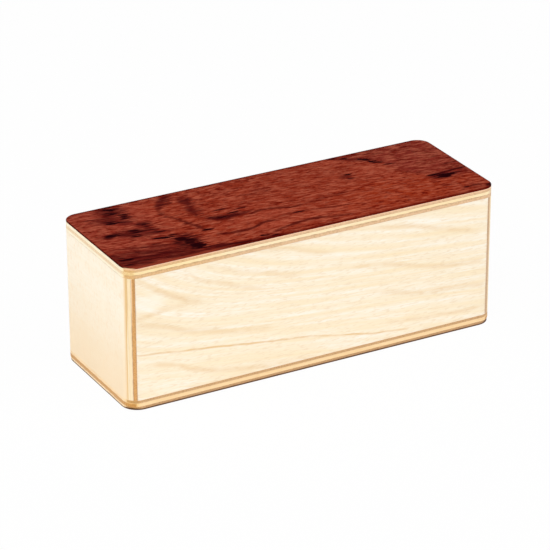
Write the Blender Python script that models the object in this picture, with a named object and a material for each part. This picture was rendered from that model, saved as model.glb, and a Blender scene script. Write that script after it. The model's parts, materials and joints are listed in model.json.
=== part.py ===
"""Wooden box shaker: a glued plywood box with a rosewood top and loose steel shot inside.

Metres, +Z up. The origin is the middle of the underside, +X runs along the box and -Y is its front.
"""

import math

import bmesh
import bpy
from mathutils import Vector

# Outer size of the box in plan, and the height of its four upright boards
LENGTH = 0.160
DEPTH = 0.0554
UPRIGHT_HEIGHT = 0.0500

# Layers of the plywood that the top and the bottom are cut from
BOARD_FACE_PLY = 0.00125
BOARD_CORE_PLY = 0.00125

# Layers of the plywood that the two ends are cut from
END_FACE_PLY = 0.00125
END_CORE_PLY = 0.0010

# Layers of the thinner plywood that the front and back panels are cut from
PANEL_FACE_PLY = 0.0009
PANEL_CORE_PLY = 0.0011

# Rosewood sheet on the top board
ROSEWOOD_THICKNESS = 0.0004

# Glue between two layers of one board, and between two boards
PLY_GLUE = 0.00005
BOARD_GLUE = 0.00005

# Upright corners sanded round through all layers, and the eased rims above and below
CORNER_RADIUS = 0.0056
CORNER_SEGMENTS = 10
TOP_EASE = 0.0002
BOTTOM_EASE = 0.0005
EASE_SEGMENTS = 2

# How far a rough-cut sheet stands proud of the outline before it is sanded flush
SANDING_ALLOWANCE = 0.002

# Loose shot: each ball has a lane of its own across the box
SHOT_DIAMETER = 0.0045
SHOT_CLEARANCE = 0.0001
LANE_GAP = 0.0009
SHOT_SEGMENTS = 12
SHOT_RINGS = 8
SCATTER_STEP = 0.618034

# Edges that turn by more than this stay crisp
CRISP_ANGLE = math.radians(30)

# Base colour (linear), roughness and metallic value of each finish
FINISHES = {
    "rosewood": ((0.16, 0.030, 0.016), 0.38, 0.0),
    "birch_long_grain": ((0.93, 0.79, 0.58), 0.55, 0.0),
    "birch_end_grain": ((0.62, 0.37, 0.18), 0.62, 0.0),
    "steel": ((0.56, 0.56, 0.58), 0.25, 1.0),
}

# Sizes that follow from the ones above
BOARD_PLIES = (BOARD_FACE_PLY, BOARD_CORE_PLY, BOARD_FACE_PLY)
END_PLIES = (END_FACE_PLY, END_CORE_PLY, END_FACE_PLY)
PANEL_PLIES = (PANEL_FACE_PLY, PANEL_CORE_PLY, PANEL_FACE_PLY)
BOARD = sum(BOARD_PLIES) + 2 * PLY_GLUE
END = sum(END_PLIES) + 2 * PLY_GLUE
PANEL = sum(PANEL_PLIES) + 2 * PLY_GLUE
UPRIGHT_FOOT = BOARD + BOARD_GLUE
UPRIGHT_HEAD = UPRIGHT_FOOT + UPRIGHT_HEIGHT
TOP_BOARD_UNDERSIDE = UPRIGHT_HEAD + BOARD_GLUE
ROSEWOOD_UNDERSIDE = TOP_BOARD_UNDERSIDE + BOARD + PLY_GLUE
HEIGHT = ROSEWOOD_UNDERSIDE + ROSEWOOD_THICKNESS
END_INSIDE = LENGTH / 2 - END
PANEL_INSIDE = DEPTH / 2 - PANEL
ROUGH_X = LENGTH / 2 + SANDING_ALLOWANCE
ROUGH_Y = DEPTH / 2 + SANDING_ALLOWANCE


def remove_old_objects():
    for old in list(bpy.data.objects):
        bpy.data.objects.remove(old, do_unlink=True)


def new_collection(name):
    collection = bpy.data.collections.new(name)
    bpy.context.scene.collection.children.link(collection)
    return collection


def new_finish(name):
    colour, roughness, metallic = FINISHES[name]
    material = bpy.data.materials.new(name)
    material.use_nodes = True
    shader = material.node_tree.nodes["Principled BSDF"]
    shader.inputs["Base Color"].default_value = (*colour, 1.0)
    shader.inputs["Roughness"].default_value = roughness
    shader.inputs["Metallic"].default_value = metallic
    return material


def box_mesh(name, size):
    shape = bmesh.new()
    bmesh.ops.create_cube(shape, size=1.0)
    bmesh.ops.scale(shape, vec=size, verts=shape.verts)
    mesh = bpy.data.meshes.new(name)
    shape.to_mesh(mesh)
    shape.free()
    return mesh


def round_edges(shape, edges, radius, segments):
    bmesh.ops.bevel(
        shape, geom=edges, offset=radius, offset_type="OFFSET", segments=segments, profile=0.5, affect="EDGES"
    )


def rim_edges(shape, height):
    """The edges that lie in the level plane at this height."""
    return [e for e in shape.edges if all(math.isclose(v.co.z, height, abs_tol=1e-6) for v in e.verts)]


def sanded_outline(collection):
    """The finished outside of the box, as one block that every rough-cut sheet is trimmed to."""
    mesh = box_mesh("sanded_outline", (LENGTH, DEPTH, HEIGHT))
    shape = bmesh.new()
    shape.from_mesh(mesh)
    upright = [e for e in shape.edges if abs(e.verts[0].co.z - e.verts[1].co.z) > HEIGHT / 2]
    round_edges(shape, upright, CORNER_RADIUS, CORNER_SEGMENTS)
    round_edges(shape, rim_edges(shape, HEIGHT / 2), TOP_EASE, EASE_SEGMENTS)
    round_edges(shape, rim_edges(shape, -HEIGHT / 2), BOTTOM_EASE, EASE_SEGMENTS)
    shape.to_mesh(mesh)
    shape.free()
    outline = bpy.data.objects.new("sanded_outline", mesh)
    outline.location = (0, 0, HEIGHT / 2)
    outline.hide_render = True
    outline.display_type = "WIRE"
    collection.objects.link(outline)
    return outline


def stacked(start, plies):
    """The two faces of each layer of a board, counted from start, with glue between the layers."""
    faces = []
    for thickness in plies:
        faces.append((start, start + thickness))
        start += thickness + PLY_GLUE
    return faces


def mirrored(span):
    return -span[1], -span[0]


class Shaker:
    """Holds the collections and finishes while the pieces are made."""

    def __init__(self):
        self.parts = new_collection("wooden_shaker")
        self.outline = sanded_outline(new_collection("wooden_shaker_cutters"))
        self.finishes = {name: new_finish(name) for name in FINISHES}
        self.root = bpy.data.objects.new("shaker", None)
        self.parts.objects.link(self.root)

    def add(self, name, mesh, place, finish):
        piece = bpy.data.objects.new(name, mesh)
        piece.location = place
        piece.parent = self.root
        self.parts.objects.link(piece)
        if not mesh.materials:
            mesh.materials.append(self.finishes[finish])
        return piece

    def sheet(self, name, x, y, z, finish):
        """One layer of wood between these spans, rough-cut and then sanded flush with the outline."""
        low, high = (Vector(corner) for corner in zip(x, y, z))
        piece = self.add(name, box_mesh(name, high - low), (low + high) / 2, finish)
        trim = piece.modifiers.new("sand_flush", "BOOLEAN")
        trim.operation = "INTERSECT"
        trim.object = self.outline
        bpy.context.view_layer.update()
        ready = piece.evaluated_get(bpy.context.evaluated_depsgraph_get())
        sanded = bpy.data.meshes.new_from_object(ready)
        piece.modifiers.clear()
        piece.data = sanded
        sanded.materials.clear()
        sanded.materials.append(self.finishes[finish])
        sanded.shade_smooth()
        sanded.set_sharp_from_angle(angle=CRISP_ANGLE)


def add_level_boards(shaker):
    """Bottom board, top board and the rosewood on it, all the full length and depth of the box."""
    x, y = (-ROUGH_X, ROUGH_X), (-ROUGH_Y, ROUGH_Y)
    bottom = stacked(0, BOARD_PLIES)
    bottom[0] = (-SANDING_ALLOWANCE, bottom[0][1])
    for layer, z in zip(("lower", "core", "upper"), bottom):
        shaker.sheet(f"bottom_{layer}_ply", x, y, z, "birch_end_grain")
    for layer, z in zip(("lower", "core", "upper"), stacked(TOP_BOARD_UNDERSIDE, BOARD_PLIES)):
        shaker.sheet(f"top_{layer}_ply", x, y, z, "birch_end_grain")
    shaker.sheet("top_rosewood_veneer", x, y, (ROSEWOOD_UNDERSIDE, HEIGHT + SANDING_ALLOWANCE), "rosewood")


def add_end_boards(shaker):
    """Left and right ends, standing between the bottom and the top, as deep as the box."""
    y, z = (-ROUGH_Y, ROUGH_Y), (UPRIGHT_FOOT, UPRIGHT_HEAD)
    right = stacked(END_INSIDE, END_PLIES)
    right[-1] = (right[-1][0], ROUGH_X)
    for layer, x in zip(("inner", "core", "outer"), right):
        shaker.sheet(f"left_end_{layer}_ply", mirrored(x), y, z, "birch_long_grain")
        shaker.sheet(f"right_end_{layer}_ply", x, y, z, "birch_long_grain")


def add_panels(shaker):
    """Front and back panels, set flush between the two ends."""
    reach = END_INSIDE - BOARD_GLUE
    x, z = (-reach, reach), (UPRIGHT_FOOT, UPRIGHT_HEAD)
    back = stacked(PANEL_INSIDE, PANEL_PLIES)
    back[-1] = (back[-1][0], ROUGH_Y)
    for layer, y in zip(("inner", "core", "face"), back):
        shaker.sheet(f"front_panel_{layer}_ply", x, mirrored(y), z, "birch_long_grain")
        shaker.sheet(f"back_panel_{layer}_ply", x, y, z, "birch_long_grain")


def shot_mesh():
    shape = bmesh.new()
    bmesh.ops.create_uvsphere(shape, u_segments=SHOT_SEGMENTS, v_segments=SHOT_RINGS, radius=SHOT_DIAMETER / 2)
    mesh = bpy.data.meshes.new("steel_shot")
    shape.to_mesh(mesh)
    shape.free()
    mesh.shade_smooth()
    return mesh


def add_shot(shaker):
    """Loose balls lying on the bottom board, one in each lane and scattered between the two panels."""
    lanes = int(2 * END_INSIDE / (SHOT_DIAMETER + LANE_GAP))
    pitch = 2 * END_INSIDE / lanes
    spread = 2 * (PANEL_INSIDE - SHOT_CLEARANCE) - SHOT_DIAMETER
    mesh = shot_mesh()
    for lane in range(lanes):
        x = -END_INSIDE + (lane + 0.5) * pitch
        y = (lane * SCATTER_STEP % 1.0 - 0.5) * spread
        z = BOARD + SHOT_CLEARANCE + SHOT_DIAMETER / 2
        shaker.add(f"steel_shot_{lane + 1:02d}", mesh, (x, y, z), "steel")


def main():
    remove_old_objects()
    shaker = Shaker()
    add_level_boards(shaker)
    add_end_boards(shaker)
    add_panels(shaker)
    add_shot(shaker)


main()
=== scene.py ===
"""Looks of the wooden box shaker: a birch plywood box with a rosewood top and loose steel shot inside.

Metres, +Z up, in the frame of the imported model. The front is -Y and the left end is -X.
"""

import json
import math

import bmesh
import bpy
from mathutils import Matrix, Vector


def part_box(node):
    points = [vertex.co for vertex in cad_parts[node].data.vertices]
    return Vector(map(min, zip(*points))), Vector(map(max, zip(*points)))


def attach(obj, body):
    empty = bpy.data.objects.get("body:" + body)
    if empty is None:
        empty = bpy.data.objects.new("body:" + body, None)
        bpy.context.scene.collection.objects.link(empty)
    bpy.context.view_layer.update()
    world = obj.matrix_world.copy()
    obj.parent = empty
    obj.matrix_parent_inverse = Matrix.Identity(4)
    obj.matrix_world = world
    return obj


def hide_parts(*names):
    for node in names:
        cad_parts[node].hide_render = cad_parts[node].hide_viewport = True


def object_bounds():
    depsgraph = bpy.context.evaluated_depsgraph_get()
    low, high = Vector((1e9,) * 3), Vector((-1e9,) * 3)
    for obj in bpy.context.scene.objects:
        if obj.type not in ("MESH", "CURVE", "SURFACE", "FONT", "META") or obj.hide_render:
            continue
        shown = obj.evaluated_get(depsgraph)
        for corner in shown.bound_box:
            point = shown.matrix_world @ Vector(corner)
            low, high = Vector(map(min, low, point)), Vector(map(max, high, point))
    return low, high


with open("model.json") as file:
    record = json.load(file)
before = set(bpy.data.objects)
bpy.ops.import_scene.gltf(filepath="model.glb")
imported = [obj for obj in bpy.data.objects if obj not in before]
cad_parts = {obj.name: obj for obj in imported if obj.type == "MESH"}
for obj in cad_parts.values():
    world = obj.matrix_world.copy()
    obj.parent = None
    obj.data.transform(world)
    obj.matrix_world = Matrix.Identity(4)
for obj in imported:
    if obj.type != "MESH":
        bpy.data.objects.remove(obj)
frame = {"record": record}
CAD_LOW, CAD_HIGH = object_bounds()


def tone(red, green, blue):
    """A colour as it looks on screen, 0 to 255, made the linear colour that a shader takes."""
    steps = (channel / 255 for channel in (red, green, blue))
    linear = [s / 12.92 if s <= 0.04045 else ((s + 0.055) / 1.055) ** 2.4 for s in steps]
    return (*linear, 1.0)


def add_object(name, data):
    """A new object in the scene with this data."""
    made = bpy.data.objects.new(name, data)
    bpy.context.scene.collection.objects.link(made)
    return made


# Sanded outside that every sheet of wood is trimmed to
CORNER_RADIUS = 0.0056
CORNER_SEGMENTS = 24
TOP_EASE = 0.0002
BOTTOM_EASE = 0.0005
EASE_SEGMENTS = 4
SANDING_ALLOWANCE = 0.002
ON_THE_OUTSIDE = 0.00001
CRISP_ANGLE = math.radians(30)

# The foot's eased rim: how much wider it grows in the middle of a corner, and how high its points lie
FOOT_ROUNDING = 2.4
FOOT_HEIGHT = 1.1 * BOTTOM_EASE

# Steel shot: how finely a ball is divided, and the dents that shaking leaves in it
SHOT_DIVISIONS = 4
DENT_DEPTH = 0.00003
DENT_SIZE = 0.0012
DENT_BAND = (0.45, 0.75)

# Camera: its turn round the box, its angle above the level, its roll, distance and lens, and its aim
CAMERA_AZIMUTH = math.radians(-28.840)
CAMERA_ELEVATION = math.radians(25.076)
CAMERA_ROLL = math.radians(-0.117)
CAMERA_DISTANCE = 1.1631
CAMERA_LENS = 196.82
CAMERA_SENSOR = 36.0
AIM_HEIGHT = 0.0288
AIM_RIGHT = -0.0025
AIM_UP = -0.00163

# Floor: half its width, its gap under the box, its grey level, and the share of its white that is its own
FLOOR_REACH = 6.0
FLOOR_GAP = 0.00005
FLOOR_LEVEL = 0.86
FLOOR_GLOW = 0.965

# Painted contact shadow under the box: its tone, the radius of its corners, how much shorter than the box
# it is at each end, and how far outside it the floor begins to glow and glows in full
CONTACT_SHADOW_TONE = tone(128, 92, 72)
CONTACT_RADIUS = 0.0064
CONTACT_SHORTER = 0.00018
GLOW_STARTS = 0.00012
GLOW_WHOLE = 0.00030

# Sky: its level at the horizon, above the front, and above the back, and where they change
HORIZON_LEVEL = 0.97
FRONT_SKY_LEVEL = 0.60
BACK_SKY_LEVEL = 0.14
HORIZON_BAND = (0.05, 0.16)
FRONT_TO_BACK = (-0.5, 0.7)

# Soft lamps: place, width and power
LAMPS = {
    "left_front_lamp": ((-0.90, -1.00, 1.00), 1.0, 7.2),
    "right_front_lamp": ((1.10, -0.90, 0.70), 1.0, 5.9),
    "left_back_lamp": ((-1.20, 0.50, 0.80), 0.8, 7.0),
    "overhead_lamp": ((0.10, -0.15, 1.60), 1.2, 5.0),
}

# The three axes of the box: along it, across it and up it
X, Y, Z = range(3)

# Patterns in the wood are in millimetres, and those drawn in plan leave out the height
MILLIMETRES = 1000.0
FLATTEN = 1e6

# Which part of a noise becomes streaks, pores and cut fibres, and the sizes of marks and patches
FIBRE_BAND = (0.32, 0.68)
PORE_BAND = 0.12
CUT_BAND = (0.34, 0.52)
SANDING_MARK = (0.25, 0.25, 0.25)
FINISH_PATCH = (14, 14, 14)


class Wiring:
    """Puts nodes into one tree and joins them up. A value is a number, a tuple or another node's socket."""

    def __init__(self, tree):
        self.tree = tree

    def feed(self, socket, value):
        if isinstance(value, bpy.types.NodeSocket):
            self.tree.links.new(value, socket)
        else:
            socket.default_value = value

    def fill(self, node, values):
        for socket, value in values.items():
            self.feed(node.inputs[socket], value)

    def node(self, kind, values=None, **settings):
        made = self.tree.nodes.new(kind)
        for name, setting in settings.items():
            setattr(made, name, setting)
        self.fill(made, values or {})
        return made

    def made(self, kind, values=None, **settings):
        """The first output of a new node."""
        return self.node(kind, values, **settings).outputs[0]

    def group(self, tree, values, output):
        return self.node("ShaderNodeGroup", values, node_tree=tree).outputs[output]

    def math(self, operation, *values):
        return self.made("ShaderNodeMath", dict(enumerate(values)), operation=operation)

    def vector(self, operation, *values, output=0):
        node = self.node("ShaderNodeVectorMath", dict(enumerate(values)), operation=operation)
        return node.outputs[output]

    def measure(self, operation, *values):
        """A vector operation that gives one number."""
        return self.vector(operation, *values, output=1)

    def fold(self, operation, values):
        result = values[0]
        for value in values[1:]:
            result = self.math(operation, result, value)
        return result

    def total(self, *values):
        return self.fold("ADD", values)

    def product(self, *values):
        return self.fold("MULTIPLY", values)

    def most(self, *values):
        return self.fold("MAXIMUM", values)

    def less(self, value, taken):
        return self.math("SUBTRACT", value, taken)

    def size(self, value):
        return self.math("ABSOLUTE", value)

    def rise(self, value, start, end, low=0.0, high=1.0, way="SMOOTHSTEP"):
        """Goes from low to high as the value passes from start to end, and stops there."""
        values = {"Value": value, "From Min": start, "From Max": end, "To Min": low, "To Max": high}
        return self.made("ShaderNodeMapRange", values, interpolation_type=way)

    def spread(self, value, start, end, low, high):
        """Rises in a straight line."""
        return self.rise(value, start, end, low, high, "LINEAR")

    def blend(self, share, first, second, way="MIX"):
        """Two colours mixed. A mix node takes them as its inputs 6 and 7, and its output 2 is a colour."""
        values = {0: share, 6: first, 7: second}
        return self.node("ShaderNodeMix", values, data_type="RGBA", blend_type=way).outputs[2]

    def join(self, x, y, z):
        return self.made("ShaderNodeCombineXYZ", {"X": x, "Y": y, "Z": z})

    def split(self, vector):
        return self.node("ShaderNodeSeparateXYZ", {"Vector": vector}).outputs[:]

    def noise(self, place, sizes, detail=2.0, roughness=0.5):
        """Noise whose features have these sizes along the three axes of the place."""
        share = tuple(1 / size for size in sizes)
        squeezed = self.made("ShaderNodeMapping", {"Vector": place, "Scale": share})
        values = {"Vector": squeezed, "Scale": 1.0, "Detail": detail, "Roughness": roughness}
        return self.made("ShaderNodeTexNoise", values)

    def millimetres(self):
        """The place on the box in millimetres."""
        surface = self.node("ShaderNodeTexCoord").outputs["Object"]
        return self.vector("MULTIPLY", surface, (MILLIMETRES,) * 3)


def new_group(name, inputs, outputs, kind="ShaderNodeTree"):
    """An empty node group with these sockets, given as names and socket kinds."""
    tree = bpy.data.node_groups.new(name, kind)
    for direction, sockets in (("INPUT", inputs), ("OUTPUT", outputs)):
        for socket, socket_kind in sockets.items():
            tree.interface.new_socket(socket, in_out=direction, socket_type="NodeSocket" + socket_kind)
    wiring = Wiring(tree)
    return wiring, wiring.node("NodeGroupInput").outputs, wiring.node("NodeGroupOutput").inputs


def fibre_group():
    """Streaks along the grain. The first axis of the place runs along the fibres."""
    inputs = {"Place": "Vector", "Length": "Float", "Width": "Float"}
    w, given, result = new_group("wood_fibre", inputs, {"Fibre": "Float"})
    size = w.join(given["Length"], given["Width"], given["Width"])
    place = w.vector("DIVIDE", given["Place"], size)
    streak = w.noise(place, (1, 1, 1), detail=3.0, roughness=0.55)
    w.feed(result["Fibre"], w.rise(streak, *FIBRE_BAND))
    return w.tree


def pore_group():
    """Short dark dashes along the grain. A higher level leaves fewer of them."""
    inputs = {"Place": "Vector", "Length": "Float", "Width": "Float", "Level": "Float"}
    w, given, result = new_group("pore_dash", inputs, {"Pore": "Float"})
    size = w.join(given["Length"], given["Width"], given["Width"])
    place = w.vector("DIVIDE", given["Place"], size)
    dash = w.noise(place, (1, 1, 1), detail=1.0, roughness=0.4)
    w.feed(result["Pore"], w.rise(dash, given["Level"], w.total(given["Level"], PORE_BAND)))
    return w.tree


def cut_group():
    """How far a face is cut across the grain, from 0 on a face along the fibres to 1 on their ends."""
    w, given, result = new_group("cut_across_grain", {"Grain": "Vector"}, {"End Grain": "Float"})
    facing = w.node("ShaderNodeTexCoord").outputs["Normal"]
    across = w.size(w.measure("DOT_PRODUCT", facing, given["Grain"]))
    w.feed(result["End Grain"], w.rise(across, *CUT_BAND))
    return w.tree


def sanding_group():
    """Fine marks that sanding leaves under the finish, and slow patches where the finish lies thicker."""
    w, given, result = new_group("sanding_marks", {"Place": "Vector"}, {"Mark": "Float", "Patch": "Float"})
    w.feed(result["Mark"], w.noise(given["Place"], SANDING_MARK))
    w.feed(result["Patch"], w.noise(given["Place"], FINISH_PATCH))
    return w.tree


FIBRE = fibre_group()
PORE = pore_group()
CUT = cut_group()
SANDING = sanding_group()


def new_finish(name, kind="ShaderNodeBsdfPrincipled"):
    """A material with its nodes cleared, and the one shader that it shows."""
    finish = bpy.data.materials.new(name)
    finish.use_nodes = True
    finish.node_tree.nodes.clear()
    w = Wiring(finish.node_tree)
    shader = w.node(kind)
    w.node("ShaderNodeOutputMaterial", {"Surface": shader.outputs[0]})
    return finish, w, shader


def fibres(w, place, length, width):
    return w.group(FIBRE, {"Place": place, "Length": length, "Width": width}, "Fibre")


def pores(w, place, length, width, level):
    return w.group(PORE, {"Place": place, "Length": length, "Width": width, "Level": level}, "Pore")


def relief(w, height, depth):
    """The facing of a surface with fine relief of this depth in metres."""
    return w.made("ShaderNodeBump", {"Height": height, "Distance": depth, "Strength": 1.0})


# Rosewood figure in plan, in millimetres from the middle of the top. Smoke in the wood: half length along
# the grain, half width, tilt in degrees, darkness, and middles
SMOKE = (
    (8, 5.4, -10, 0.66, ((-65.5, 15.7), (-62, 22.5))),
    (13, 4.6, -14, 0.66, ((-62, 0.6),)),
    (7.5, 9, 0, 0.72, ((-49, -15.5),)),
    (24, 10, -4, 0.64, ((-70, -20.5),)),
    (20, 4.5, -4, 0.7, ((-52, -25),)),
    (5.5, 2.4, -18, 0.85, ((-28.5, -1.6),)),
    (7, 3.2, 45, 0.62, ((-40, 21.5),)),
    (3.6, 5.6, 0, 0.58, ((-33.4, 9), (-32.4, 18.5))),
    (8, 2, 2, 0.68, ((-23.5, -2.2),)),
    (7, 5, 0, 0.28, ((-4, 11.7),)),
    (3, 3.8, 0, 0.5, ((33.2, 8.3),)),
    (7, 3.6, 0, 0.8, ((67.5, -8.3),)),
    (3.8, 2.8, -14, 1.15, ((-49.2, -12.6), (-47.4, -16.6), (-46.6, -20.6), (67.2, -8.6))),
    (7, 3, 0, 0.4, ((73, -23.5),)),
    (3, 2, 0, 0.85, ((78.5, -25.5),)),
    (5, 3.4, -20, 0.66, ((-56, 6.2), (-61, 11.5))),
    (4.6, 2.6, -4, 0.72, ((-62.4, 2.2), (-71.4, 2))),
    (8, 2.6, -28, 0.42, ((45, 21.5),)),
    (2.6, 1, -6, 1.1, (
        (-61, 26.9), (-61.8, 20.5), (-59.6, 14.2), (-62.2, 2.7), (-50.4, -7.6), (-36.8, -9.7),
    )),
    (2.2, 0.9, -2, 1.05, ((34.8, 9.9), (34.4, 6.5), (-17.2, -26.4), (-20.6, -24.6))),
    (2.8, 1.3, -14, 1.2, ((-58.9, 15.9), (-48.4, -12.6), (-47.4, -14.6), (-46.2, -16.4), (-45.6, -20.8))),
    (2.8, 1.4, -20, 0.9, ((-55, 5.6),)),
    (4.2, 1.1, -6, 1.2, (
        (-46.4, -19), (-75.4, -19.6), (-70.8, 2.2), (67.6, -9.9), (-65.6, 12.3), (65, -6.7), (71, -8.3),
    )),
    (5.5, 1, -12, 1.2, ((-46.6, -22.8), (-54.4, -8.5))),
    (3.4, 1.3, -39, 1.1, ((-61.6, 24.3), (50.8, 16), (48.2, 20))),
    (3, 0.9, -26, 0.95, ((37.4, 26.2), (41.8, 23.9))),
    (3.2, 0.9, -10, 0.9, ((-64.4, 21.8), (-67.2, 14), (-58.6, 18), (-61.2, 0.4), (-63.2, -2.6))),
    (3, 0.9, -5, 0.85, ((-76.4, -17.3), (-77, -23.9), (-55.4, 3.8), (-51.4, -14.6))),
    (6, 0.8, -13, 0.85, ((-63.6, -1.3), (-56, -1.8))),
    (5, 0.7, -6, 0.8, ((-67, -23.4), (-60, -24.6), (-53, -3))),
    (3.6, 0.7, 2, 0.8, ((1.4, -11.8), (-17.2, 2.1), (-21.4, -0.3), (-24.8, 4.3))),
    (2.4, 0.7, -8, 0.7, (
        (-72.6, 19.2), (-72.6, 16.4), (-57.4, 21.7), (-56.6, 7.2), (-64.8, -12.8), (-60, -12.4),
    )),
    (2.6, 0.7, -8, 0.75, ((54.4, 11.3), (69.8, -23.1), (74, -22.4))),
)

# Paler patches between the dark ones, listed the same way
PALE_PATCHES = (
    (6, 16, 8, 0.7, ((-50, 12),)),
    (12, 3.6, -10, 0.6, ((-68, -7.5),)),
    (23, 2.7, 2, 0.6, ((-14, -8.6), (-8, -17.5))),
    (6, 3, -20, 0.6, ((33, 24),)),
    (6, 14, 25, 0.6, ((46, 6),)),
)

# Growth lines that run along the sheet: half width, darkness, and points
GROWTH_LINES = (
    (0.9, 0.95, ((-31, -2.4), (-27, -4), (-21.1, -3.6), (-14, -2.1))),
    (0.8, 0.85, ((-15.6, -4.4), (-11.2, -3.5), (-6.4, -4.3), (-2.4, -5.8), (1.6, -7), (6, -6.3))),
    (1.1, 0.52, ((6, -6.3), (12, -6), (19, -5.3), (28, -4.3))),
    (1.6, 0.45, ((-7, -4.5), (-2.4, -5.4), (3, -6.9))),
    (0.9, 0.95, (
        (-35.4, -15.2), (-32.4, -16.3), (-28, -16.9), (-22.6, -16.8), (-18.8, -15.6), (-15, -14.2),
        (-10.8, -14.5),
    )),
    (0.8, 0.42, ((-9, -12.6), (-2, -12), (5, -12.8), (14, -13.9), (28, -17))),
    (0.9, 0.75, (
        (-17, -24.2), (-14.4, -23.3), (-10, -21.9), (-5.6, -20.9), (0, -20.1), (5.2, -20.3), (8, -21.9),
    )),
    (0.9, 0.6, ((8, -21.6), (13.2, -22.7), (19.2, -23.5))),
    (1.1, 0.85, ((-80, -18.8), (-64, -20.7), (-52, -22.6))),
    (1.2, 1.4, ((-44, -23.6), (-40, -24.4), (-32, -26.3), (-24, -26.8), (-14, -27))),
    (0.7, 1.5, ((65, -6.4), (68, -6.2), (74, -5.8), (80, -5.3))),
    (0.6, 1.00, ((73, 0.7), (76, 0.9), (80, 1))),
    (1.2, 0.5, (
        (35.6, 26.9), (39, 25.8), (43.3, 23.3), (47.2, 20.2), (49.8, 17.1), (52.2, 14.9), (55.6, 11.6),
    )),
    (0.8, 0.6, ((-80, -9.2), (-72, -10.4), (-64, -12.7), (-52, -16))),
)

# Growth lines that run across the sheet, where the figure turns back
GROWTH_ARCS = (
    (2, 0.7, ((13.5, -45.2), (18.4, -43.4), (22.4, -40), (26.4, -36.4), (28.5, -34.6))),
    (1.5, 0.6, ((4, -42.8), (7.5, -44.6), (11, -45.7), (15, -44.9))),
    (1.6, 0.95, ((-10, -38.2), (-5, -39), (-1, -40.7), (2.7, -42), (6, -43.9))),
    (1.5, 0.55, ((-1, -34), (3, -34.6), (7, -34.3), (12, -33), (18, -31.5), (25, -28))),
)

# Where the purple heart of the sheet begins, across the sheet
PURPLE_EDGE = ((-14, 84), (-8, 68), (-4, 61), (0.5, 56), (7, 53.6), (13.3, 52.8), (20.5, 48), (27, 37))

# An orange patch, by its middle and half sizes, and the dull left third, by where it begins and is whole
ORANGE_MIDDLE = (46, -14, 0)
ORANGE_SIZES = (34, 16, FLATTEN)
DULL_LEFT = (-44.0, -60.0)

# Where the grain bends near the left end and towards the right, its slope there, and how soft the bends are
LEFT_BEND = -40.0
LEFT_SLOPE = 0.20
RIGHT_BEND = -12.0
RIGHT_SLOPE = 0.13
BEND_SOFTNESS = 12.0

# The front rim where hands have rubbed it pale, and the front left corner that is worn through
RUBBED_X = (-32.0, -46.0)
RUBBED_Y = (-25.9, -27.1)
WORN_X = (-75.8, -77.4)
WORN_Y = (-24.0, -25.6)
WORN_Z = (58.20, 58.10)

# Fibres and pores of the rosewood: length, width and, for pores, the level that thins them out
ROSEWOOD_FLOW = (40.0, 4.0)
ROSEWOOD_STREAK = (18.0, 1.3)
ROSEWOOD_GRAIN = (7.0, 0.95)
ROSEWOOD_GLINT = (3.6, 0.85)
ROSEWOOD_PORE = (2.6, 1.05, 0.52)
ROSEWOOD_FLECK = (1.4, 0.55, 0.52)

# What they leave of the colour under them
STREAK_SHADE = (0.68, 0.36, 0.22, 1)
GRAIN_SHADE = (0.58, 0.18, 0.07, 1)
PORE_SHADE = (0.55, 0.14, 0.05, 1)
FLECK_SHADE = (0.60, 0.26, 0.16, 1)

# Tones of the rosewood
ROSEWOOD = {
    "ground": tone(148, 54, 34),
    "flow": tone(158, 63, 41),
    "pale": tone(179, 85, 63),
    "orange": tone(168, 60, 24),
    "purple": tone(131, 44, 37),
    "dull": tone(146, 61, 51),
    "glint": tone(197, 106, 80),
    "rubbed": tone(152, 66, 46),
    # rim: dark stain on the veneer's edge and painted shade on its eased rims
    "rim": tone(80, 6, 1),
    "cut": tone(66, 10, 5),
    "worn": tone(240, 196, 146),
}

# Dark marks, all over and then in their hearts: where the tone begins and is whole, its share, and the tone
LINE_TONES = ((0.05, 0.66, 0.82, tone(78, 12, 10)), (0.75, 1.20, 0.85, tone(22, 0, 4)))
SMOKE_TONES = ((0.00, 0.70, 0.82, tone(84, 16, 15)), (0.45, 0.95, 0.94, tone(24, 0, 5)))

# How much wider than their half width the lines along the sheet are drawn
LINE_SPREAD = 1.3

ROSEWOOD_ROUGHNESS = 0.44
ROSEWOOD_GLOSS = 0.004
ROSEWOOD_RELIEF = 0.00003


def clouds(w, place, fray, length, width, tilt, middles):
    """Oval clouds of one size, darkest in the middle, with frayed rims."""
    angle = math.radians(tilt)
    values = {"Vector": place, "Rotation": (0, 0, angle), "Scale": (length, width, FLATTEN)}
    spot = w.made("ShaderNodeMapping", values, vector_type="TEXTURE")
    gaps = []
    for middle in middles:
        along, across = Vector(middle) @ Matrix.Rotation(angle, 2)
        gaps.append(w.measure("DISTANCE", spot, (along / length, across / width, 0)))
    return w.rise(w.total(w.fold("MINIMUM", gaps), fray), 1.30, 0.40)


def drawn_curve(w, along, points):
    """The height of a curve drawn through the points, each given as its place along and its height."""
    starts, heights = zip(*points)
    low, high = min(heights), max(heights)
    line = w.node("ShaderNodeFloatCurve")
    curve = line.mapping.curves[0]
    given_points = len(curve.points)
    for number, (start, height) in enumerate(points):
        spot = ((start - starts[0]) / (starts[-1] - starts[0]), (height - low) / (high - low))
        if number < given_points:
            curve.points[number].location = spot
        else:
            curve.points.new(*spot)
    line.mapping.update()
    w.feed(line.inputs["Value"], w.spread(along, starts[0], starts[-1], 0, 1))
    return w.spread(line.outputs[0], 0, 1, low, high)


def growth_line(w, along, across, points, half_width):
    """A dark line along a drawn curve, fading at its two ends."""
    gap = w.size(w.less(across, drawn_curve(w, along, points)))
    first, last = points[0][0], points[-1][0]
    fade = 3 * half_width
    ends = w.product(w.rise(along, first - fade, first + fade), w.rise(along, last + fade, last - fade))
    return w.product(w.rise(gap, 1.5 * half_width, 0.0), ends)


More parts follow.
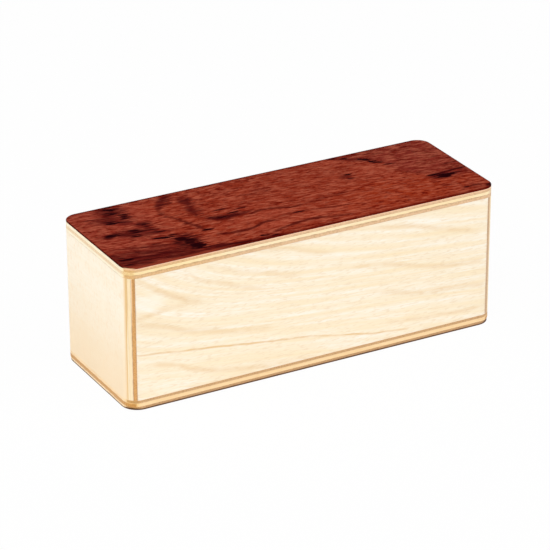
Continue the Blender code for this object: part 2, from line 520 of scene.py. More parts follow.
def unbent(w, flat, wander):
    """The place on the sheet with the bends of its grain taken out."""
    x, y, z = w.split(flat)
    from_left = w.math("SMOOTH_MIN", w.less(x, LEFT_BEND), 0.0, BEND_SOFTNESS)
    from_right = w.math("SMOOTH_MAX", w.less(x, RIGHT_BEND), 0.0, BEND_SOFTNESS)
    bends = w.total(w.product(from_left, LEFT_SLOPE), w.product(from_right, RIGHT_SLOPE))
    return w.join(x, w.total(y, w.spread(wander, 0, 1, -1.4, 1.4), bends), z)


def rosewood_ground(w, flat, place, torn, wander):
    """The colour of the wood itself, with pale, orange and dull patches and a purple heart."""
    colour = w.blend(fibres(w, place, *ROSEWOOD_FLOW), ROSEWOOD["ground"], ROSEWOOD["flow"])
    for length, width, tilt, share, middles in PALE_PATCHES:
        patch = clouds(w, torn, 0.0, length, width, tilt, middles)
        colour = w.blend(w.product(patch, share), colour, ROSEWOOD["pale"])
    from_orange = w.vector("DIVIDE", w.vector("SUBTRACT", flat, ORANGE_MIDDLE), ORANGE_SIZES)
    orange = w.rise(w.measure("LENGTH", from_orange), 1.2, 0.2, 0.0, 0.5)
    colour = w.blend(orange, colour, ROSEWOOD["orange"])
    torn_x, torn_y, _ = w.split(torn)
    past_edge = w.less(torn_x, drawn_curve(w, torn_y, PURPLE_EDGE))
    colour = w.blend(w.rise(past_edge, -2.0, 3.0, 0.0, 0.80), colour, ROSEWOOD["purple"])
    ragged_x = w.total(w.split(flat)[X], w.spread(wander, 0, 1, -8, 8))
    return w.blend(w.rise(ragged_x, *DULL_LEFT, 0.0, 0.55), colour, ROSEWOOD["dull"])


def rosewood_fibres(w, place, grain, pore, colour):
    """Streaks, grain and pores that darken the ground, and fibres that glint between them."""
    streak = fibres(w, place, *ROSEWOOD_STREAK)
    fleck = pores(w, place, *ROSEWOOD_FLECK)
    glint = fibres(w, place, *ROSEWOOD_GLINT)
    patchy = w.rise(w.noise(place, (18, 7, 7)), 0.35, 0.65, 0.45, 1.0)
    colour = w.blend(w.spread(streak, 0, 1, 0.45, 0.0), colour, STREAK_SHADE, "MULTIPLY")
    colour = w.blend(w.spread(grain, 0, 1, 0.66, 0.0), colour, GRAIN_SHADE, "MULTIPLY")
    colour = w.blend(w.product(pore, patchy), colour, PORE_SHADE, "MULTIPLY")
    colour = w.blend(w.product(fleck, 0.62), colour, FLECK_SHADE, "MULTIPLY")
    return w.blend(w.product(glint, glint, 0.50), colour, ROSEWOOD["glint"])


def darkened(w, colour, mark, tones):
    """A colour under a dark mark, which goes through these tones from its rim to its heart."""
    for start, end, share, dark in tones:
        colour = w.blend(w.rise(mark, start, end, 0.0, share), colour, dark)
    return colour


def growth_figure(w, flat, place, torn_y, stroke, grain, colour):
    """Growth lines along the sheet and arcs across it, broken up by the grain."""
    x, y, _ = w.split(flat)
    frayed_x = w.total(x, w.product(stroke, 1.4))
    frayed_y = w.total(torn_y, w.product(stroke, 0.4))
    gaps = w.rise(w.noise(place, (12, 2.5, 2.5)), 0.35, 0.60, 0.75, 1.0)
    broken_lines = w.product(gaps, w.spread(grain, 0, 1, 1.0, 0.7))
    broken_arcs = w.spread(grain, 0, 1, 1.0, 0.55)
    lines = 0.0
    for rows, along, across, broken, spread in (
        (GROWTH_LINES, x, frayed_y, broken_lines, LINE_SPREAD),
        (GROWTH_ARCS, y, frayed_x, broken_arcs, 1.0),
    ):
        for half_width, darkness, points in rows:
            line = growth_line(w, along, across, points, spread * half_width)
            lines = w.most(lines, w.product(line, broken, darkness))
    return darkened(w, colour, lines, LINE_TONES)


def smoky_figure(w, torn, stroke, grain, colour):
    """Dark smoke in the wood, frayed along the grain."""
    smoke = 0.0
    fray = w.product(stroke, 0.45)
    for length, width, tilt, darkness, middles in SMOKE:
        patch = clouds(w, torn, fray, length, width, tilt, middles)
        smoke = w.most(smoke, w.product(patch, darkness))
    smoke = w.product(smoke, w.spread(grain, 0, 1, 1.15, 0.70))
    return darkened(w, colour, smoke, SMOKE_TONES)


def rosewood_rims(w, flat, colour):
    """Rims dark with stain and painted shade, rubbed pale at the front's left, worn through at that corner.
    """
    x, y, z = w.split(flat)
    past_x = w.less(w.size(x), CAD_HIGH.x * MILLIMETRES)
    past_y = w.less(w.size(y), CAD_HIGH.y * MILLIMETRES)
    rubbed = w.product(w.rise(y, *RUBBED_Y), w.rise(x, *RUBBED_X))
    colour = w.blend(w.product(rubbed, 0.65), colour, ROSEWOOD["rubbed"])
    # Stain and painted shade along the rims at the front, back and ends, less where the rim is rubbed
    stain_and_rim_shade = w.product(w.rise(past_y, -1.5, -0.4), w.spread(rubbed, 0, 1, 1.0, 0.2))
    rim = w.most(w.rise(past_x, -0.6, -0.1), stain_and_rim_shade)
    colour = w.blend(w.product(rim, 0.75), colour, ROSEWOOD["rim"])
    cut = w.group(CUT, {"Grain": (1, 0, 0)}, "End Grain")
    colour = w.blend(w.product(cut, 0.95), colour, ROSEWOOD["cut"])
    worn = w.product(w.rise(x, *WORN_X), w.rise(y, *WORN_Y), w.rise(z, *WORN_Z), 0.85)
    return w.blend(worn, colour, ROSEWOOD["worn"])


def rosewood_finish():
    """Red-brown veneer with smoky figure, growth lines and short dark pores along the box."""
    finish, w, shader = new_finish("rosewood_veneer")
    flat = w.millimetres()
    x, y, z = w.split(flat)
    wander = w.noise(flat, (45, 16, 16))
    waver = w.noise(flat, (7, 3, 3))
    place = unbent(w, flat, wander)
    stroke = w.spread(w.noise(place, (4.5, 0.7, 0.7), detail=3.0, roughness=0.6), 0.25, 0.75, -1.0, 1.0)
    torn_x = w.total(x, w.product(stroke, 1.6))
    torn_y = w.total(y, w.spread(waver, 0, 1, -0.6, 0.6))
    torn = w.join(torn_x, torn_y, z)
    grain = fibres(w, place, *ROSEWOOD_GRAIN)
    pore = pores(w, place, *ROSEWOOD_PORE)

    colour = rosewood_ground(w, flat, place, torn, wander)
    colour = rosewood_fibres(w, place, grain, pore, colour)
    colour = growth_figure(w, flat, place, torn_y, stroke, grain, colour)
    colour = smoky_figure(w, torn, stroke, grain, colour)
    marks = w.node("ShaderNodeGroup", {"Place": flat}, node_tree=SANDING).outputs
    height = w.total(w.product(pore, -0.7), w.product(grain, 0.3), w.product(marks["Mark"], 0.2))
    w.fill(shader, {
        "Base Color": rosewood_rims(w, flat, colour),
        "Roughness": w.total(ROSEWOOD_ROUGHNESS, w.product(pore, 0.12), w.product(marks["Patch"], 0.10)),
        "Specular IOR Level": ROSEWOOD_GLOSS,
        "Normal": relief(w, height, ROSEWOOD_RELIEF),
    })
    return finish


# Growth rings of the panels: a panel's left end and its foot, how much its rings fall along it, and how far
# and over which length and heights those of the front climb at the upper left
PANEL_END = -76
PANEL_FOOT = 4
FRONT_FALL = 0.13
BACK_FALL = 0.10
STEEP_CLIMB = 26.0
STEEP_LENGTH = 45
STEEP_HEIGHTS = (8.0, 45.0)


def front_growth(w, x, y, z):
    """Growth rings of the rotary-cut front: they fall to the right, steeply at the upper left corner."""
    along = w.less(x, PANEL_END)
    up = w.less(z, PANEL_FOOT)
    turn = w.less(1.0, w.math("EXPONENT", w.product(along, -1 / STEEP_LENGTH)))
    steep = w.product(w.rise(up, *STEEP_HEIGHTS), turn, STEEP_CLIMB)
    return along, w.total(up, w.product(along, FRONT_FALL), steep), y


def back_growth(w, x, y, z):
    """Growth rings of the back panel, which fall gently to its other end."""
    along = w.less(-PANEL_END, x)
    return along, w.total(z, w.product(along, BACK_FALL)), y


# Glue lines: how far the stain reaches from a joint, how near it is whole, how ragged its rim is, its tone
GLUE_REACH = 0.42
GLUE_WHOLE = 0.1
GLUE_RAGGED = 0.25
GLUE_TONE = tone(176, 126, 80)


def shaded(colour, shares):
    """A colour with each of its three channels cut to a share of itself."""
    return tuple(channel * share for channel, share in zip(colour, (*shares, 1.0)))


def glue_stain(w, flat, cut, seams):
    """Stain beside glued joints. A seam is an axis, its place, and its strength along and across fibres."""
    place = w.split(flat)
    ragged = w.spread(w.noise(flat, (2.5, 2.5, 2.5), detail=3.0), 0.3, 0.7, 0.0, GLUE_RAGGED)
    stain = 0.0
    for axis, at, along, across in seams:
        gap = w.size(w.less(place[axis], at))
        line = w.rise(w.total(gap, ragged), GLUE_REACH, GLUE_WHOLE)
        stain = w.most(stain, w.product(line, w.spread(cut, 0, 1, along, across)))
    return stain


# Fibres of the birch: length, width and, for flecks, the level that thins them out
BIRCH_BAND = (60.0, 3.4)
BIRCH_RING = (36.0, 1.3)
BIRCH_FIBRE = (6.0, 0.7)
BIRCH_FLECK = (3.0, 0.60, 0.55)
BIRCH_SPECK = (0.5, 0.5, 0.5)

# How strongly its bands, rings, fibres and flecks show, and what they leave of the tone's three channels
BIRCH_MARKS = (
    (0.80, (0.96, 0.85, 0.64)),
    (0.35, (0.94, 0.77, 0.50)),
    (0.50, (0.94, 0.84, 0.68)),
    (0.50, (0.87, 0.74, 0.57)),
)
SPECK_SHARES = (0.78, 0.72, 0.62)

BIRCH_ROUGHNESS = 0.40
BIRCH_GLOSS = 0.25
BIRCH_RELIEF = 0.00002

# Layers of birch: the tone along the grain, the tone of cut fibres, and the contrast of the figure
END_PALE = tone(252, 242, 223)
CORE_PALE = tone(253, 235, 201)
LEFT_TAN = tone(222, 168, 106)
RIGHT_TAN = tone(212, 178, 146)
PANEL_WOOD = (tone(253, 246, 233), tone(212, 170, 122), 1.0)
LAYERS = {
    "top_face": (tone(253, 244, 222), tone(230, 192, 153), 0.4),
    "top_core": (tone(254, 235, 197), tone(243, 217, 180), 0.5),
    "bottom_face": (tone(251, 226, 187), tone(209, 167, 122), 0.6),
    "bottom_core": (tone(251, 222, 176), tone(215, 165, 108), 0.5),
    "left_end_face": (END_PALE, LEFT_TAN, 0.2),
    "left_end_core": (CORE_PALE, LEFT_TAN, 0.5),
    "right_end_face": (END_PALE, RIGHT_TAN, 0.2),
    "right_end_core": (CORE_PALE, RIGHT_TAN, 0.5),
    "front_panel": PANEL_WOOD,
    "back_panel": PANEL_WOOD,
    "panel_core": PANEL_WOOD,
}


def birch_finish(layer, grain, seams=(), rings=None, figure=None, wear_and_shade=None):
    """Clear-finished birch: pale along the grain's axis and tan where its fibres are cut across."""
    pale, tan, contrast = LAYERS[layer]
    finish, w, shader = new_finish(layer + "_layer")
    flat = w.millimetres()
    x, y, z = w.split(flat)
    grain_first = {X: (x, y, z), Y: (y, x, z), Z: (z, x, y)}
    place = w.join(*grain_first[grain])
    ring_place = w.join(*rings(w, x, y, z)) if rings else place

    band = fibres(w, ring_place, *BIRCH_BAND)
    ring = fibres(w, ring_place, *BIRCH_RING)
    fibre = fibres(w, place, *BIRCH_FIBRE)
    fleck = pores(w, place, *BIRCH_FLECK)
    colour = pale
    for mark, (strength, shares) in zip((band, w.product(ring, ring), fibre, fleck), BIRCH_MARKS):
        colour = w.blend(w.product(mark, strength * contrast), colour, shaded(pale, shares))
    if figure:
        colour = figure(w, x, y, z, colour)

    speck = w.noise(flat, BIRCH_SPECK, roughness=0.6)
    ends = w.blend(w.rise(speck, 0.40, 0.75), tan, shaded(tan, SPECK_SHARES))
    cut = w.group(CUT, {"Grain": [axis == grain for axis in (X, Y, Z)]}, "End Grain")
    colour = w.blend(cut, colour, ends)
    if seams:
        colour = w.blend(glue_stain(w, flat, cut, seams), colour, GLUE_TONE)
    if wear_and_shade:
        colour = wear_and_shade(w, x, y, z, cut, colour)

    marks = w.node("ShaderNodeGroup", {"Place": flat}, node_tree=SANDING).outputs
    scuffs = w.total(w.product(cut, 0.12), w.product(fibre, 0.06), w.product(marks["Patch"], 0.08))
    height = w.total(w.product(fleck, -0.5), w.product(fibre, 0.3), w.product(marks["Mark"], 0.3))
    w.fill(shader, {
        "Base Color": colour,
        "Roughness": w.total(BIRCH_ROUGHNESS, scuffs),
        "Specular IOR Level": BIRCH_GLOSS,
        "Normal": relief(w, height, BIRCH_RELIEF),
    })
    return finish


# Growth rings drawn on the front panel: half width, strength, and points along it and up it in millimetres
FRONT_RINGS = (
    (0.45, 0.8, (
        (-76, 22.4), (-62, 21), (-46, 18.6), (-27, 16.3), (-12, 14.4), (4, 11.8), (22, 8.4), (40, 6),
    )),
    (1.6, 0.45, ((-75, 52.5), (-66, 46.5), (-58, 42), (-51, 39.2))),
    (1.3, 0.3, ((-77, 37.2), (-66, 38.6), (-58, 39.2), (-51, 39.2))),
    (1.2, 0.3, ((-54, 51.2), (-47, 46.2), (-40, 44.2), (-33, 41.2), (-21, 37.2))),
    (1.4, 0.36, ((-42, 51.7), (-35, 47.7), (-27, 45.7), (-17, 42.7), (-9, 40.7))),
    (1.2, 0.25, ((-23, 53.2), (-13, 52.2), (-7, 50), (6, 46.2))),
    (1.3, 0.3, ((28, 51.7), (43, 49.2), (56, 45.2), (71, 41.2))),
    (1.6, 0.32, ((-76, 35.2), (-64, 31.7), (-52, 26.7), (-40, 24.2), (-21, 21.2))),
    (1.2, 0.4, ((-71, 17.7), (-62, 15.7), (-52, 11.2), (-40, 8.2), (-29, 6.2), (-21, 5.2))),
    (1.2, 0.3, ((16, 37.8), (33, 35.4), (53, 30.2), (73, 28.2))),
    (1.3, 0.32, ((26, 25.2), (36, 22.7), (48, 20.2), (61, 19.2), (75, 17.2))),
    (0.9, 0.36, ((31, 10.7), (53, 8.7), (73, 7.7))),
    (1.2, 0.25, ((-17, 5.4), (-9, 4.6), (-1, 5.2))),
)
RING_TONE = tone(226, 182, 112)

# A pale eye that some of them run round: its middle along and up the panel, its half sizes, and its tone
EYE_MIDDLE = (-71, 43.2)
EYE_SIZES = (8.0, 4.0)
EYE_TONE = tone(253, 245, 230)


def front_figure(w, x, y, z, colour):
    """Growth rings that stand out on the front panel, and a pale eye."""
    spot = w.join(x, y, z)
    thin = w.rise(w.noise(spot, (9, 40, 9)), 0.3, 0.6, 0.4, 1.0)
    up = w.total(z, w.spread(w.noise(spot, (14, 40, 5)), 0, 1, -0.8, 0.8))
    to_eye = [
        w.product(w.less(at, middle), 1 / size)
        for at, middle, size in zip((x, up), EYE_MIDDLE, EYE_SIZES)
    ]
    eye = w.rise(w.measure("LENGTH", w.join(*to_eye, 0)), 1.2, 0.4, 0.0, 0.6)
    colour = w.blend(eye, colour, EYE_TONE)
    for half_width, strength, points in FRONT_RINGS:
        ring = growth_line(w, x, up, points, half_width)
        colour = w.blend(w.product(ring, thin, strength), colour, RING_TONE)
    return colour


# Marks in the faces of the ends, and the heights between which they turn warmer
RIPPLE_TONE = tone(246, 224, 194)
BLOTCH_TONE = tone(244, 216, 178)
WARM_TONE = tone(246, 221, 184)
WARM_HEIGHTS = (46.0, 2.0)


def end_mottle(w, x, y, z, colour):
    """Faint upright ripples in the end's face, and a warmer tone towards its foot."""
    spot = w.join(x, y, z)
    ripple = w.noise(spot, (9, 7, 40))
    colour = w.blend(w.rise(ripple, 0.50, 0.75, 0.0, 0.25), colour, RIPPLE_TONE)
    blotch = w.noise(spot, (1.2, 1.2, 2.4), detail=3.0)
    colour = w.blend(w.rise(blotch, 0.50, 0.72, 0.0, 0.40), colour, BLOTCH_TONE)
    ragged_z = w.total(z, w.spread(ripple, 0, 1, -6, 6))
    return w.blend(w.rise(ragged_z, *WARM_HEIGHTS, 0.0, 0.85), colour, WARM_TONE)


# Upright corners of the ends, outwards from the middle of the box: where the outer layer and its paler rim
# begin, where its cut fibres begin to show, which is further in at the top, and how soft that line is
OUTER_LAYER = (78.6, 78.7)
OUTER_RIM = (79.2, 79.45)
STRIP_HEIGHTS = (28.0, 46.0)
STRIP_STARTS = (79.03, 78.63)
STRIP_SOFTNESS = 0.1
STRIP_TONE = tone(230, 192, 136)
OUTER_RIM_TONE = tone(254, 234, 200)

# Their inner layer: where it ends, the heights it is worn at, its pale side, and the stained lines in it
INNER_LAYER = (78.0, 77.9)
INNER_HEIGHTS = (30.0, 46.0)
INNER_PALE = (77.38, 77.52)
INNER_LINES = (76.93, 76.40)
INNER_LINE_BAND = (0.24, 0.06)
INNER_PALE_TONE = tone(253, 218, 174)
INNER_LINE_TONE = tone(168, 118, 70)


def thin_corner(w, x, y, z, cut, colour):
    """Sanding has thinned the outer layer at the corners: cut fibres show in a strip, wider at the top."""
    out = w.size(x)
    outer = w.product(w.rise(out, *OUTER_LAYER), cut)
    colour = w.blend(outer, colour, STRIP_TONE)
    colour = w.blend(w.product(outer, w.rise(out, *OUTER_RIM)), colour, OUTER_RIM_TONE)
    past_strip = w.less(out, w.spread(z, *STRIP_HEIGHTS, *STRIP_STARTS))
    covered = w.rise(past_strip, STRIP_SOFTNESS, -STRIP_SOFTNESS)
    colour = w.blend(w.product(outer, covered), colour, CORE_PALE)
    inner = w.product(w.rise(out, *INNER_LAYER), cut, w.rise(z, *INNER_HEIGHTS))
    colour = w.blend(w.product(inner, w.rise(out, *INNER_PALE)), colour, INNER_PALE_TONE)
    stain = 0.0
    for at in INNER_LINES:
        gap = w.size(w.less(out, at))
        stain = w.most(stain, w.rise(gap, *INNER_LINE_BAND))
    return w.blend(w.product(inner, stain, 0.5), colour, INNER_LINE_TONE)


# Honey-coloured finish: where it begins and is whole at the left end, along the top board, up and across
HONEY_END = (-74.5, -77.5)
HONEY_ALONG = (-28.0, -60.0)
HONEY_HEIGHTS = (40.0, 50.0)
HONEY_ACROSS = (22.5, 25.5)
HONEY_SHADE = (1.0, 0.90, 0.56, 1)


def honey_corner(w, x, y, z, cut, colour):
    """Finish that has turned to honey at the left end's corners, and further along on the top board."""
    corner = w.rise(x, *HONEY_END, 0.0, 0.8)
    along = w.product(w.rise(x, *HONEY_ALONG, 0.0, 0.42), w.rise(z, *HONEY_HEIGHTS))
    share = w.product(w.most(corner, along), w.rise(w.size(y), *HONEY_ACROSS))
    return w.blend(share, colour, HONEY_SHADE, "MULTIPLY")


# Rim under the rosewood: the heights between which it turns paler, and its tone
FRESH_HEIGHTS = (57.3, 57.6)
FRESH_TONE = tone(252, 204, 170)


def fresh_rim(w, x, y, z, cut, colour):
    """The rim under the rosewood, sanded last and paler, with red dust in its cut fibres."""
    colour = honey_corner(w, x, y, z, cut, colour)
    return w.blend(w.product(w.rise(z, *FRESH_HEIGHTS, 0.0, 0.75), cut), colour, FRESH_TONE)


# Bottom rim: heights of its pale band, of the faint darkening below it, and of the painted shade on its
# eased foot
BAND_HEAD = (2.88, 2.72)
BAND_FOOT = (2.0, 2.1)
FAINT_DARKENING = (1.30, 0.80)
FOOT_SHADE = (0.45, 0.25)
BAND_TONE = tone(251, 222, 176)
FAINT_DARKENING_TONE = tone(150, 108, 78)
FOOT_SHADE_TONE = tone(60, 38, 26)


def foot_rim_with_shade(w, x, y, z, cut, colour):
    """Bottom rim: a pale band, a faint darkening, and painted shade on the eased foot, most on cut fibres.
    """
    patchy = w.spread(w.noise(w.join(x, y, z), (6, 6, 6), detail=3.0), 0.3, 0.7, -0.12, 0.12)
    ragged_z = w.total(z, patchy)
    faint = w.product(w.rise(ragged_z, *FAINT_DARKENING, 0.0, 0.22), cut)
    # Painted shade on the eased foot, darkest at the bottom edge
    eased_foot_shade = w.product(w.rise(ragged_z, *FOOT_SHADE), w.spread(cut, 0, 1, 0.30, 0.54))
    band = w.product(w.rise(z, *BAND_HEAD), w.rise(z, *BAND_FOOT), cut, 0.8)
    colour = w.blend(band, colour, BAND_TONE)
    colour = w.blend(faint, colour, FAINT_DARKENING_TONE)
    colour = honey_corner(w, x, y, z, cut, colour)
    return w.blend(eased_foot_shade, colour, FOOT_SHADE_TONE)


# Steel: its two tones, its scuffs as pores, and its surface
BRIGHT_STEEL = tone(196, 197, 200)
DULL_STEEL = tone(160, 161, 166)
STEEL_SCUFF = (1.1, 0.16, 0.52)
STEEL_ROUGHNESS = 0.18
STEEL_RELIEF = 0.00001


def steel_finish():
    """Bright balls, scuffed by rubbing on each other."""
    finish, w, shader = new_finish("scuffed_steel")
    flat = w.millimetres()
    scuff = pores(w, flat, *STEEL_SCUFF)
    cloud = w.noise(flat, (1.4, 1.4, 1.4), detail=3.0)
    w.fill(shader, {
        "Base Color": w.blend(w.rise(cloud, 0.35, 0.7), BRIGHT_STEEL, DULL_STEEL),
        "Roughness": w.total(STEEL_ROUGHNESS, w.product(scuff, 0.22), w.product(cloud, 0.12)),
        "Metallic": 1.0,
        "Normal": relief(w, w.product(scuff, -1.0), STEEL_RELIEF),
    })
    return finish


def dressed(w, given, result, geometry):
    """Ends a Geometry Nodes tree: its geometry is made real and gets its finish."""
    whole = w.made("GeometryNodeRealizeInstances", {"Geometry": geometry})
    w.feed(result[0], w.made("GeometryNodeSetMaterial", {"Geometry": whole, "Material": given["Finish"]}))
    return w.tree


def sheet_tree():
    """A rough-cut sheet between two corners, sanded flush with the outline."""
    inputs = {"Low": "Vector", "High": "Vector", "Outline": "Object", "Finish": "Material"}
    w, given, result = new_group("sanded_sheet", inputs, {"Sheet": "Geometry"}, "GeometryNodeTree")
    size = w.vector("SUBTRACT", given["High"], given["Low"])
    middle = w.vector("MULTIPLY", w.vector("ADD", given["High"], given["Low"]), (0.5, 0.5, 0.5))
    rough = w.made("GeometryNodeMeshCube", {"Size": size})
    placed = w.made("GeometryNodeTransform", {"Geometry": rough, "Translation": middle})
    outline = w.node("GeometryNodeObjectInfo", {"Object": given["Outline"]}).outputs["Geometry"]
    trim = w.node("GeometryNodeMeshBoolean", operation="INTERSECT", solver="EXACT")
    w.feed(trim.inputs["Mesh 2"], placed)
    w.feed(trim.inputs["Mesh 2"], outline)
    return dressed(w, given, result, trim.outputs[0])


def shot_tree():
    """A steel ball with shallow dents, at its place in the box."""
    inputs = {"Radius": "Float", "Place": "Vector"}
    inputs |= {"Dent Depth": "Float", "Dent Size": "Float", "Finish": "Material"}
    w, given, result = new_group("dented_shot", inputs, {"Ball": "Geometry"}, "GeometryNodeTree")
    ball = w.made("GeometryNodeMeshIcoSphere", {"Radius": given["Radius"], "Subdivisions": SHOT_DIVISIONS})
    spot = w.vector("ADD", w.made("GeometryNodeInputPosition"), given["Place"])
    fineness = w.math("DIVIDE", 1.0, given["Dent Size"])
    dents = w.made("ShaderNodeTexNoise", {"Vector": spot, "Scale": fineness})
    depth = w.product(w.rise(dents, *DENT_BAND), given["Dent Depth"], -1.0)
    inwards = w.vector("MULTIPLY", w.made("GeometryNodeInputNormal"), w.join(depth, depth, depth))
    dented = w.made("GeometryNodeSetPosition", {"Geometry": ball, "Offset": inwards})
    placed = w.made("GeometryNodeTransform", {"Geometry": dented, "Translation": given["Place"]})
    return dressed(w, given, result, placed)


def grown_mesh(name, tree, values):
    """The plain mesh that a Geometry Nodes tree makes from these values, as an object of its own."""
    piece = add_object(name, bpy.data.meshes.new(name + "_start"))
    maker = piece.modifiers.new("maker", "NODES")
    maker.node_group = tree
    for socket, value in values.items():
        maker[tree.interface.items_tree[socket].identifier] = value
    bpy.context.view_layer.update()
    ready = piece.evaluated_get(bpy.context.evaluated_depsgraph_get())
    mesh = bpy.data.meshes.new_from_object(ready)
    mesh.name = name
    piece.modifiers.clear()
    piece.data = mesh
    mesh.shade_smooth()
    mesh.set_sharp_from_angle(angle=CRISP_ANGLE)
    return piece


def round_edges(shape, edges, radius, segments):
    settings = {"offset": radius, "offset_type": "OFFSET", "segments": segments, "profile": 0.5}
    bmesh.ops.bevel(shape, geom=edges, affect="EDGES", **settings)


def rim_edges(shape, height):
    """The edges that lie in the level plane at this height."""
    return [e for e in shape.edges if all(math.isclose(v.co.z, height, abs_tol=1e-6) for v in e.verts)]


def soften_foot(shape):
    """Makes the eased rim of the foot wider towards the middle of each corner, where it rubs most."""
    straight = CAD_HIGH.xy - Vector((CORNER_RADIUS, CORNER_RADIUS))
    for point in shape.verts:
        if point.co.z > CAD_LOW.z + FOOT_HEIGHT:
            continue
        core = Vector(max(-end, min(end, at)) for at, end in zip(point.co.xy, straight))
        out = point.co.xy - core
        growth = 1 + FOOT_ROUNDING * abs(2 * out.x * out.y) / out.length_squared
        inset = (CORNER_RADIUS - out.length) * growth
        point.co.xy = core + (CORNER_RADIUS - inset) * out.normalized()
        point.co.z = CAD_LOW.z + (point.co.z - CAD_LOW.z) * growth


def sanded_outline():
    """The finished outside of the box as one block, which the sheets are trimmed to."""
    shape = bmesh.new()
    bmesh.ops.create_cube(shape, size=1.0)
    bmesh.ops.scale(shape, vec=CAD_HIGH - CAD_LOW, verts=shape.verts)
    bmesh.ops.translate(shape, vec=(CAD_HIGH + CAD_LOW) / 2, verts=shape.verts)
    upright = [e for e in shape.edges if abs(e.verts[0].co.z - e.verts[1].co.z) > CORNER_RADIUS]
    round_edges(shape, upright, CORNER_RADIUS, CORNER_SEGMENTS)
    round_edges(shape, rim_edges(shape, CAD_HIGH.z), TOP_EASE, EASE_SEGMENTS)
    round_edges(shape, rim_edges(shape, CAD_LOW.z), BOTTOM_EASE, EASE_SEGMENTS)
    soften_foot(shape)
    mesh = bpy.data.meshes.new("sanded_outline")
    shape.to_mesh(mesh)
    shape.free()
    return add_object("sanded_outline", mesh)


def rough_corners(node, open_axes):
    """Corners of the sheet before sanding: it stands proud wherever it reaches the outside of the box."""
    low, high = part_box(node)
    for axis in (X, Y, Z):
        if axis in open_axes or abs(low[axis] - CAD_LOW[axis]) < ON_THE_OUTSIDE:
            low[axis] = CAD_LOW[axis] - SANDING_ALLOWANCE
        if axis in open_axes or abs(high[axis] - CAD_HIGH[axis]) < ON_THE_OUTSIDE:
            high[axis] = CAD_HIGH[axis] + SANDING_ALLOWANCE
    return low, high


class Sheets:
    """Makes the sheets of wood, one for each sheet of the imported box."""

    def __init__(self):
        self.tree = sheet_tree()
        self.outline = sanded_outline()

    def add(self, node, open_axes, finish, slot):
        low, high = rough_corners(node, open_axes)
        values = {"Low": low, "High": high, "Outline": self.outline, "Finish": finish}
        piece = grown_mesh("sanded_" + node, self.tree, values)
        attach(piece, "box")
        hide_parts(node)

    def add_board(self, board, layers, open_axes, face, core, slot):
        """The three layers of a board: two faces with a core between them."""
        for layer, finish in zip(layers, (face, core, face)):
            self.add(f"{board}_{layer}_ply", open_axes, finish, slot)

    def clear_up(self):
        bpy.data.objects.remove(self.outline, do_unlink=True)


def faces(node, axis):
    """The two faces of a sheet along an axis, in millimetres."""
    return [corner[axis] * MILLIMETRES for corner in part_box(node)]


def add_level_boards(sheets):
    """Rosewood, top board and bottom board, which reach the outside of the box all round."""
    sheets.add("top_rosewood_veneer", (X, Y), rosewood_finish(), "rosewood")
    core_low, core_high = faces("top_core_ply", Z)
    underside = faces("top_lower_ply", Z)[0]
    seams = ((Z, core_low, 0.0, 0.4), (Z, core_high, 0.0, 0.3), (Z, underside, 0.55, 0.0))
    face = birch_finish("top_face", Y, seams, wear_and_shade=fresh_rim)
    core = birch_finish("top_core", X, ((Z, core_low, 0.8, 0.0),), wear_and_shade=honey_corner)
    layers = ("upper", "core", "lower")
    sheets.add_board("top", layers, (X, Y), face, core, "birch_board")
    seams = [(Z, at, 0.7, 0.0) for at in faces("bottom_core_ply", Z)]
    face = birch_finish("bottom_face", Y, seams, wear_and_shade=foot_rim_with_shade)
    core = birch_finish("bottom_core", X, wear_and_shade=honey_corner)
    sheets.add_board("bottom", layers, (X, Y), face, core, "birch_board")


def add_end_boards(sheets):
    """Left and right ends, which reach the outside of the box at the front and the back."""
    for side in ("left", "right"):
        seams = [(X, at, 0.45, 0.45) for at in faces(f"{side}_end_inner_ply", X)]
        face = birch_finish(f"{side}_end_face", Y, seams, figure=end_mottle, wear_and_shade=thin_corner)
        core = birch_finish(f"{side}_end_core", Z, seams)
        sheets.add_board(f"{side}_end", ("outer", "core", "inner"), (Y,), face, core, "birch_end")


def add_panels(sheets):
    """Front and back panels, set between the ends."""
    core = birch_finish("panel_core", Z)
    seams = [(X, faces("front_panel_face_ply", X)[0], 0.25, 0.25)]
    for side, rings, figure in (("front", front_growth, front_figure), ("back", back_growth, None)):
        face = birch_finish(f"{side}_panel", X, seams, rings, figure)
        sheets.add_board(f"{side}_panel", ("face", "core", "inner"), (), face, core, "birch_panel")


def add_shot():
    """The loose balls, each on the body that carries it."""
    tree = shot_tree()
    steel = steel_finish()
    for body, nodes in frame["record"]["behaviour"]["bodies"].items():
        if not body.startswith("shot"):
            continue
        for node in nodes:
            low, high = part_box(node)
            values = {"Radius": (high.z - low.z) / 2, "Place": (low + high) / 2}
            values |= {"Dent Depth": DENT_DEPTH, "Dent Size": DENT_SIZE, "Finish": steel}
            piece = grown_mesh("scuffed_" + node, tree, values)
            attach(piece, body)
            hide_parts(node)


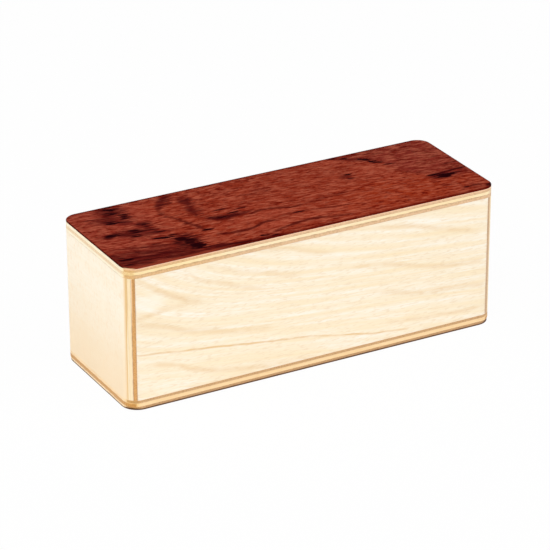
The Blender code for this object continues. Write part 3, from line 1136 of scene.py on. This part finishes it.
def add_floor():
    """A pale floor that shows white to the camera, with a painted shadow where the box stands on it."""
    mesh = bpy.data.meshes.new("floor")
    shape = bmesh.new()
    bmesh.ops.create_grid(shape, x_segments=1, y_segments=1, size=FLOOR_REACH)
    bmesh.ops.translate(shape, vec=(0, 0, CAD_LOW.z - FLOOR_GAP), verts=shape.verts)
    shape.to_mesh(mesh)
    shape.free()
    finish, w, mixed = new_finish("pale_floor", "ShaderNodeMixShader")
    white = w.made("ShaderNodeEmission", {"Color": (1, 1, 1, 1), "Strength": 1.0})
    ray = w.node("ShaderNodeLightPath").outputs
    mirrored = w.most(ray["Is Glossy Ray"], ray["Is Transmission Ray"])
    seen = w.most(ray["Is Camera Ray"], mirrored)
    # Painted contact shadow: close round the box's footprint the floor turns dark and stops glowing
    round_inset = CAD_HIGH - Vector((CONTACT_RADIUS + CONTACT_SHORTER, CONTACT_RADIUS, 0))
    spot = w.vector("ABSOLUTE", w.node("ShaderNodeTexCoord").outputs["Object"])
    past = w.vector("MAXIMUM", w.vector("SUBTRACT", spot, round_inset), (0, 0, 0))
    gap = w.less(w.measure("LENGTH", w.vector("MULTIPLY", past, (1, 1, 0))), CONTACT_RADIUS)
    clear = w.rise(gap, GLOW_STARTS, GLOW_WHOLE)
    colour = w.blend(clear, CONTACT_SHADOW_TONE, (FLOOR_LEVEL, FLOOR_LEVEL, FLOOR_LEVEL, 1))
    paint = w.made("ShaderNodeBsdfDiffuse", {"Color": colour})
    w.fill(mixed, {0: w.product(seen, clear, FLOOR_GLOW), 1: paint, 2: white})
    mesh.materials.append(finish)
    floor = add_object("floor", mesh)


def add_sky():
    """Even studio surroundings: white at the level, softer above, and dim above the back."""
    world = bpy.data.worlds.new("studio")
    bpy.context.scene.world = world
    world.use_nodes = True
    world.node_tree.nodes.clear()
    w = Wiring(world.node_tree)
    _, y, z = w.split(w.node("ShaderNodeTexCoord").outputs["Generated"])
    above = w.rise(y, *FRONT_TO_BACK, FRONT_SKY_LEVEL, BACK_SKY_LEVEL)
    level = w.rise(z, *HORIZON_BAND)
    strength = w.total(w.product(above, level), w.product(w.less(1.0, level), HORIZON_LEVEL))
    sky = w.made("ShaderNodeBackground", {"Color": (1, 1, 1, 1), "Strength": strength})
    w.node("ShaderNodeOutputWorld", {"Surface": sky})


def add_lamps():
    for name, (place, width, power) in LAMPS.items():
        light = bpy.data.lights.new(name, "AREA")
        light.shape = "DISK"
        light.size = width
        light.energy = power
        lamp = add_object(name, light)
        lamp.location = place
        towards_box = Vector((0, 0, AIM_HEIGHT)) - lamp.location
        lamp.rotation_euler = towards_box.to_track_quat("-Z", "Y").to_euler()


def add_camera():
    """The camera, in front of the left corner and looking down on the top."""
    level = math.cos(CAMERA_ELEVATION)
    back = Vector((
        math.sin(CAMERA_AZIMUTH) * level, -math.cos(CAMERA_AZIMUTH) * level, math.sin(CAMERA_ELEVATION)
    ))
    right = (-back).cross(Vector((0, 0, 1))).normalized()
    up = back.cross(right)
    right, up = (
        math.cos(CAMERA_ROLL) * right + math.sin(CAMERA_ROLL) * up,
        math.cos(CAMERA_ROLL) * up - math.sin(CAMERA_ROLL) * right,
    )
    aim = Vector((0, 0, AIM_HEIGHT)) + AIM_RIGHT * right + AIM_UP * up
    lens = bpy.data.cameras.new("camera")
    lens.lens = CAMERA_LENS
    lens.sensor_width = CAMERA_SENSOR
    camera = add_object("camera", lens)
    turn = Matrix((right, up, back)).transposed().to_4x4()
    camera.matrix_world = Matrix.Translation(aim + CAMERA_DISTANCE * back) @ turn
    bpy.context.scene.camera = camera


sheets = Sheets()
add_level_boards(sheets)
add_end_boards(sheets)
add_panels(sheets)
sheets.clear_up()
add_shot()
add_floor()
add_sky()
add_lamps()
add_camera()
bpy.context.scene.view_settings.view_transform = "Standard"
